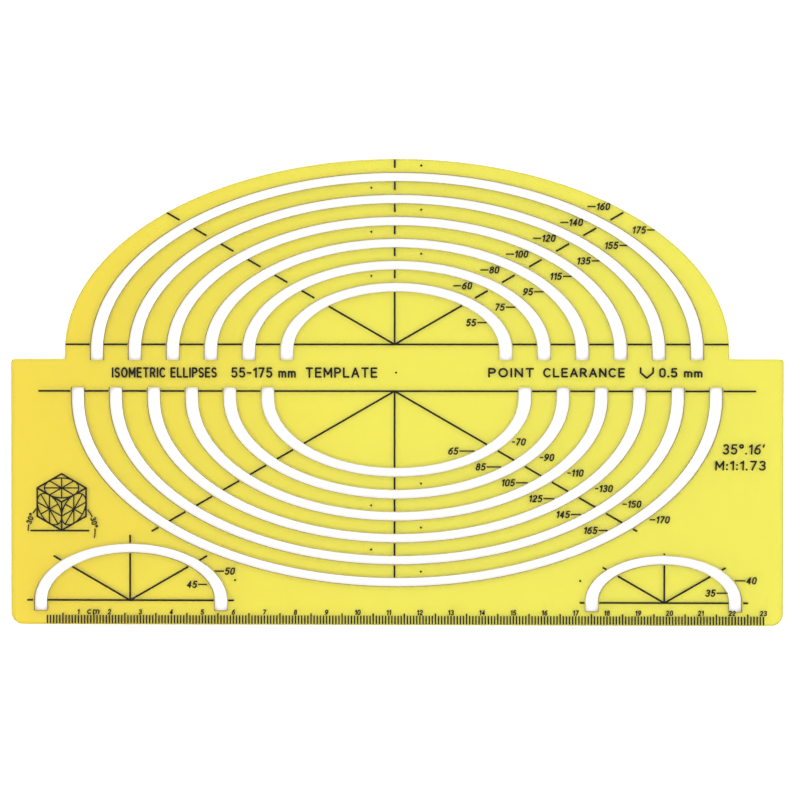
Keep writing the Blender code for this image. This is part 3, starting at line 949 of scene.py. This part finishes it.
# The two angle signs: side, where on its arc the figure stands, and the arc's pieces beside it, in degrees
ANGLE_SIGNS = ((-1, 21, ((0, 10), (32, 40))), (1, 14, ((-12, 3), (25, 38))))


def on_angle_arc(foot, side, degrees):
    """A point on the arc on one side of the cube's foot."""
    angle = math.radians(degrees)
    return foot + Vector((side * math.cos(angle), math.sin(angle))) * ANGLE_ARC


def make_cube_sign(ink):
    """A cube in isometric view, with each face's ellipse and middle lines, over a base line.

    An arc on each side shows the 30 degrees between the base line and the cube's lower edges.
    """
    cage = bmesh.new()
    centre = Vector((CUBE_X, RULER_EDGE / MM + CUBE_HEIGHT))
    spokes = []
    for step in range(6):
        angle = ISOMETRIC_ANGLE + step * math.pi / 3
        spokes.append(Vector((math.cos(angle), math.sin(angle))) * CUBE_EDGE)
    outline = [centre + spoke for spoke in spokes]
    patches = pen_patches(outline + outline[:1], CUBE_OUTLINE)
    for spoke in (spokes[0], spokes[2], spokes[4]):
        patches += pen_patches([centre, centre + spoke], CUBE_OUTLINE)
    for one, two in ((spokes[0], spokes[2]), (spokes[2], spokes[4]), (spokes[4], spokes[0])):
        middle = centre + (one + two) / 2
        ellipse = []
        for step in range(CUBE_ELLIPSE_STEPS + 1):
            angle = 2 * math.pi * step / CUBE_ELLIPSE_STEPS
            ellipse.append(middle + (one * math.cos(angle) + two * math.sin(angle)) / 2)
        patches += pen_patches(ellipse, CUBE_LINE)
        for ray in (one / 2, two / 2, (one + two) * CUBE_DIAGONAL, (one - two) * CUBE_DIAGONAL):
            patches += pen_patches([middle - ray, middle + ray], CUBE_LINE)
    foot = Vector((centre.x, centre.y - CUBE_EDGE - BASE_DROP))
    patches += pen_patches([foot + Vector((end, 0.0)) for end in BASE_ENDS], CUBE_OUTLINE)
    for side, _, pieces in ANGLE_SIGNS:
        for low, high in pieces:
            arc = [on_angle_arc(foot, side, low + (high - low) * step / 3) for step in range(4)]
            patches += pen_patches(arc, CUBE_LINE)
    add_patches(cage, patches, in_metres)
    for side, middle, _ in ANGLE_SIGNS:
        place = in_metres(on_angle_arc(foot, side, middle))
        turn = side * math.radians(middle - 90)
        words(cage, "30\u00b0", ANGLE_FIGURE_HEIGHT * MM, CUBE_LINE * MM, place, turn=turn)
    piece = printed("cube_sign_art", cage, ink)
    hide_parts("cube_sign")


# ---------------------------------------------------------------- materials


PLASTIC_IOR = 1.49


def new_material(name):
    """A node material, with its nodes and links."""
    material = bpy.data.materials.new(name)
    material.use_nodes = True
    return material, material.node_tree.nodes, material.node_tree.links


def add_noise(nodes, links, where, scale, detail):
    """Noise at a place, from 0 to 1 with its middle at 0.5."""
    noise = nodes.new("ShaderNodeTexNoise")
    noise.inputs["Scale"].default_value = scale
    noise.inputs["Detail"].default_value = detail
    links.new(where, noise.inputs["Vector"])
    return noise.outputs["Fac"]


def add_range(nodes, links, value, low, high, to_low, to_high):
    """A value taken from one range to another, and held at its ends."""
    spread = nodes.new("ShaderNodeMapRange")
    spread.inputs["From Min"].default_value = low
    spread.inputs["From Max"].default_value = high
    spread.inputs["To Min"].default_value = to_low
    spread.inputs["To Max"].default_value = to_high
    links.new(value, spread.inputs["Value"])
    return spread.outputs["Result"]


def add_ramp(nodes, links, value, stops):
    """A colour that changes with a value, given by its stops."""
    ramp = nodes.new("ShaderNodeValToRGB")
    elements = ramp.color_ramp.elements
    while len(elements) < len(stops):
        elements.new(0.5)
    for element, (place, colour) in zip(elements, stops):
        element.position = place
        element.color = (*colour, 1.0)
    links.new(value, ramp.inputs["Fac"])
    return ramp.outputs["Color"]


def scratches(nodes, links, where, angle, length, across):
    """Fine straight scratches: noise stretched along one way. Length and width are in metres."""
    mapping = nodes.new("ShaderNodeMapping")
    mapping.inputs["Rotation"].default_value = (0.0, 0.0, angle)
    mapping.inputs["Scale"].default_value = (1.0 / length, 1.0 / across, 1.0)
    links.new(where, mapping.inputs["Vector"])
    return add_noise(nodes, links, mapping.outputs["Vector"], 1.0, 1.0)


def plastic_material():
    """Clear yellow moulded sheet: slightly warmer to the left and paler to the right, which is painted
    light, a sheen from the right; faintly wavy, with hair scratches.
    """
    material, nodes, links = new_material("yellow_clear_plastic_with_painted_sheen")
    shader = nodes["Principled BSDF"]
    where = nodes.new("ShaderNodeTexCoord").outputs["Object"]
    split = nodes.new("ShaderNodeSeparateXYZ")
    links.new(where, split.inputs["Vector"])
    cloud = add_noise(nodes, links, where, 28.0, 3.0)
    shift = add_range(nodes, links, cloud, 0.3, 0.7, -0.012, 0.012)
    total = nodes.new("ShaderNodeMath")
    total.operation = "ADD"
    links.new(split.outputs["X"], total.inputs[0])
    links.new(shift, total.inputs[1])
    along = add_range(nodes, links, total.outputs[0], -0.125, 0.125, 0.0, 1.0)
    # Painted light: the tint runs from orange on the left to paler yellow on the right, a painted sheen
    # from the right, with a wavy border from the cloud noise
    tint = add_ramp(
        nodes,
        links,
        along,
        [
            (0.0, (0.97, 0.845, 0.11)),
            (0.45, (0.97, 0.93, 0.215)),
            (1.0, (0.967, 0.935, 0.23)),
        ],
    )
    links.new(tint, shader.inputs["Base Color"])
    shader.inputs["Transmission Weight"].default_value = 1.0
    shader.inputs["IOR"].default_value = PLASTIC_IOR
    one = scratches(nodes, links, where, 0.5, 0.012, 0.00016)
    two = scratches(nodes, links, where, -0.9, 0.009, 0.00012)
    both = nodes.new("ShaderNodeMath")
    both.operation = "MAXIMUM"
    links.new(one, both.inputs[0])
    links.new(two, both.inputs[1])
    marks = add_range(nodes, links, both.outputs[0], 0.66, 0.8, 0.0, 1.0)
    rough = add_range(nodes, links, marks, 0.0, 1.0, 0.07, 0.22)
    links.new(rough, shader.inputs["Roughness"])
    wave = add_noise(nodes, links, where, 22.0, 1.0)
    bump = nodes.new("ShaderNodeBump")
    bump.inputs["Strength"].default_value = 0.12
    bump.inputs["Distance"].default_value = 0.0006
    links.new(wave, bump.inputs["Height"])
    fine = nodes.new("ShaderNodeBump")
    fine.invert = True
    fine.inputs["Strength"].default_value = 0.25
    fine.inputs["Distance"].default_value = 0.00002
    links.new(marks, fine.inputs["Height"])
    links.new(bump.outputs["Normal"], fine.inputs["Normal"])
    links.new(fine.outputs["Normal"], shader.inputs["Normal"])
    return material


def edge_material(name, dark, light, clear):
    """An edge, slot wall or dimple of the plastic, with fine cutter marks.

    Only a clear one lets light through. The dark opaque ones, for the slot walls and the dimples, carry
    painted shade.
    """
    material, nodes, links = new_material(name)
    shader = nodes["Principled BSDF"]
    where = nodes.new("ShaderNodeTexCoord").outputs["Object"]
    grain = add_noise(nodes, links, where, 900.0, 3.0)
    tint = add_ramp(nodes, links, grain, [(0.35, dark), (0.65, light)])
    links.new(tint, shader.inputs["Base Color"])
    if clear:
        shader.inputs["Transmission Weight"].default_value = 1.0
        shader.inputs["IOR"].default_value = PLASTIC_IOR
        rough = (0.10, 0.22)
    else:
        shader.inputs["Specular IOR Level"].default_value = 0.15
        rough = (0.35, 0.5)
    links.new(add_range(nodes, links, grain, 0.3, 0.7, *rough), shader.inputs["Roughness"])
    return material


def ink_material():
    """Black screen print: a dense film with a slightly uneven gloss and small thin places."""
    material, nodes, links = new_material("black_print")
    shader = nodes["Principled BSDF"]
    where = nodes.new("ShaderNodeTexCoord").outputs["Object"]
    grain = add_noise(nodes, links, where, 1500.0, 3.0)
    tint = add_ramp(nodes, links, grain, [(0.4, (0.003, 0.003, 0.003)), (0.72, (0.016, 0.015, 0.011))])
    links.new(tint, shader.inputs["Base Color"])
    links.new(add_range(nodes, links, grain, 0.3, 0.7, 0.42, 0.6), shader.inputs["Roughness"])
    shader.inputs["Specular IOR Level"].default_value = 0.12
    bump = nodes.new("ShaderNodeBump")
    bump.inputs["Strength"].default_value = 0.3
    bump.inputs["Distance"].default_value = 0.00001
    links.new(grain, bump.inputs["Height"])
    links.new(bump.outputs["Normal"], shader.inputs["Normal"])
    return material


# The floor, in metres: how far it is white, from where it is grey, half its side, and its gap to the sheet
FLOOR_WHITE_TO = 0.5
FLOOR_GREY_FROM = 5.0
FLOOR_SIZE = 15.0
FLOOR_DROP = 0.05 * MM


def floor_material():
    """White paper that turns to the dome's horizon grey with its distance from the middle."""
    material, nodes, links = new_material("white_floor")
    shader = nodes["Principled BSDF"]
    where = nodes.new("ShaderNodeTexCoord").outputs["Object"]
    away = nodes.new("ShaderNodeVectorMath")
    away.operation = "LENGTH"
    links.new(where, away.inputs[0])
    far = add_range(nodes, links, away.outputs["Value"], FLOOR_WHITE_TO, FLOOR_GREY_FROM, 0.0, 1.0)
    tint = add_ramp(nodes, links, far, [(0.0, (0.94, 0.94, 0.94)), (1.0, (0.37, 0.37, 0.37))])
    links.new(tint, shader.inputs["Base Color"])
    grain = add_noise(nodes, links, where, 60.0, 2.0)
    links.new(add_range(nodes, links, grain, 0.3, 0.7, 0.85, 0.95), shader.inputs["Roughness"])
    return material


# ---------------------------------------------------------------- studio


def make_floor():
    """The floor under the sheet, which isn't part of the object."""
    mesh = bpy.data.meshes.new("floor")
    cage = bmesh.new()
    bmesh.ops.create_grid(cage, x_segments=1, y_segments=1, size=FLOOR_SIZE)
    cage.to_mesh(mesh)
    cage.free()
    mesh.materials.append(floor_material())
    floor = bpy.data.objects.new("floor", mesh)
    floor.location = (0.0, 0.0, -FLOOR_DROP)
    bpy.context.scene.collection.objects.link(floor)


# The dome's strength above and at the horizon, and the share of its height where it is full
WORLD_HIGH = 1.70
WORLD_LOW = 0.6
WORLD_FULL_HEIGHT = 0.65


def make_world():
    """A white studio dome that dims towards the horizon."""
    world = bpy.data.worlds.new("studio")
    world.use_nodes = True
    bpy.context.scene.world = world
    nodes, links = world.node_tree.nodes, world.node_tree.links
    background = nodes["Background"]
    background.inputs["Color"].default_value = (1.0, 1.0, 1.0, 1.0)
    split = nodes.new("ShaderNodeSeparateXYZ")
    links.new(nodes.new("ShaderNodeTexCoord").outputs["Generated"], split.inputs["Vector"])
    height = split.outputs["Z"]
    strength = add_range(nodes, links, height, 0.0, WORLD_FULL_HEIGHT, WORLD_LOW, WORLD_HIGH)
    links.new(strength, background.inputs["Strength"])


LAMP_PLACE = Vector((-1.1, -0.9, 0.9))
LAMP_SIZE = 0.8
LAMP_POWER = 4.0


def make_lamp():
    """A large soft lamp over the lower left, aimed at the sheet's middle."""
    lamp = bpy.data.lights.new("key", "AREA")
    lamp.shape = "RECTANGLE"
    lamp.size = lamp.size_y = LAMP_SIZE
    lamp.energy = LAMP_POWER
    holder = bpy.data.objects.new("key", lamp)
    holder.location = LAMP_PLACE
    holder.rotation_mode = "QUATERNION"
    holder.rotation_quaternion = (-LAMP_PLACE).to_track_quat("-Z", "Y")
    bpy.context.scene.collection.objects.link(holder)


CAMERA_PLACE = Vector((6.71, 0.74, 448.4)) * MM
CAMERA_TARGET = Vector((1.25, -2.42, 1.5)) * MM
CAMERA_ROLL = math.radians(0.052)
CAMERA_LENS = 62.67


def make_camera():
    """The photograph's camera, almost straight above the sheet."""
    camera = bpy.data.cameras.new("camera")
    camera.lens = CAMERA_LENS
    camera.clip_start = 0.01
    camera.clip_end = 20.0
    holder = bpy.data.objects.new("camera", camera)
    ahead = (CAMERA_TARGET - CAMERA_PLACE).normalized()
    right = Vector((math.cos(CAMERA_ROLL), math.sin(CAMERA_ROLL), 0.0))
    right = (right - ahead * right.dot(ahead)).normalized()
    up = right.cross(ahead)
    turn = Matrix((right, up, -ahead)).transposed().to_4x4()
    holder.matrix_world = Matrix.Translation(CAMERA_PLACE) @ turn
    bpy.context.scene.collection.objects.link(holder)
    bpy.context.scene.camera = holder


# ---------------------------------------------------------------- making it


def sheet_nodes():
    """The CAD nodes that make up the one sheet."""
    marks = ("centre_bar", "ruler_band", "_core", "_strip_", "_field_")
    return [name for name in sorted(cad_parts) if any(mark in name for mark in marks)]


def dress_cad_print(ink):
    """Gives the CAD nodes that nothing replaces, all of them straight print, the print's material."""
    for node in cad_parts.values():
        if node.hide_render:
            continue
        for slot in node.material_slots:
            slot.link = "OBJECT"
            slot.material = ink


plastic = plastic_material()
edge = edge_material("outer_edge_plastic", (0.62, 0.50, 0.07), (0.76, 0.64, 0.10), True)
# The slot walls are opaque dark amber: partly the deeper amber of the cut edge, partly painted shade on the
# walls
wall = edge_material("slot_wall_amber_and_painted_shade", (0.13, 0.085, 0.008), (0.24, 0.16, 0.016), False)
# The dimples are near black: painted shade in their steep pits
dimple = edge_material("dimple_painted_shade", (0.015, 0.012, 0.004), (0.03, 0.025, 0.008), False)
ink = ink_material()

sheet = make_sheet((plastic, edge, wall, dimple))
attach(sheet, ROOT)
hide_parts(*sheet_nodes())

make_group_dashes("upper_dashes", UPPER_SLOTS, UPPER_CENTRE, UPPER_AXIS, 1, rim_axes(), ink)
make_group_dashes("lower_dashes", LOWER_SLOTS, LOWER_CENTRE, LOWER_AXIS, -1, None, ink)
make_arc_ticks(ink)
make_upper_sizes(ink)
make_lower_sizes(ink)
make_arc_sizes(ink)
make_ruler(ink)
make_caption("caption_left", LEFT_WORDS, LEFT_WORDS_HEIGHT, ink)
make_caption("caption_right", RIGHT_WORDS, RIGHT_WORDS_HEIGHT, ink)
make_point_sign(ink)
make_angle_note(ink)
make_cube_sign(ink)
dress_cad_print(ink)

make_floor()
make_world()
make_lamp()
make_camera()
bpy.context.scene.view_settings.view_transform = "Standard"

bpy.context.view_layer.update()
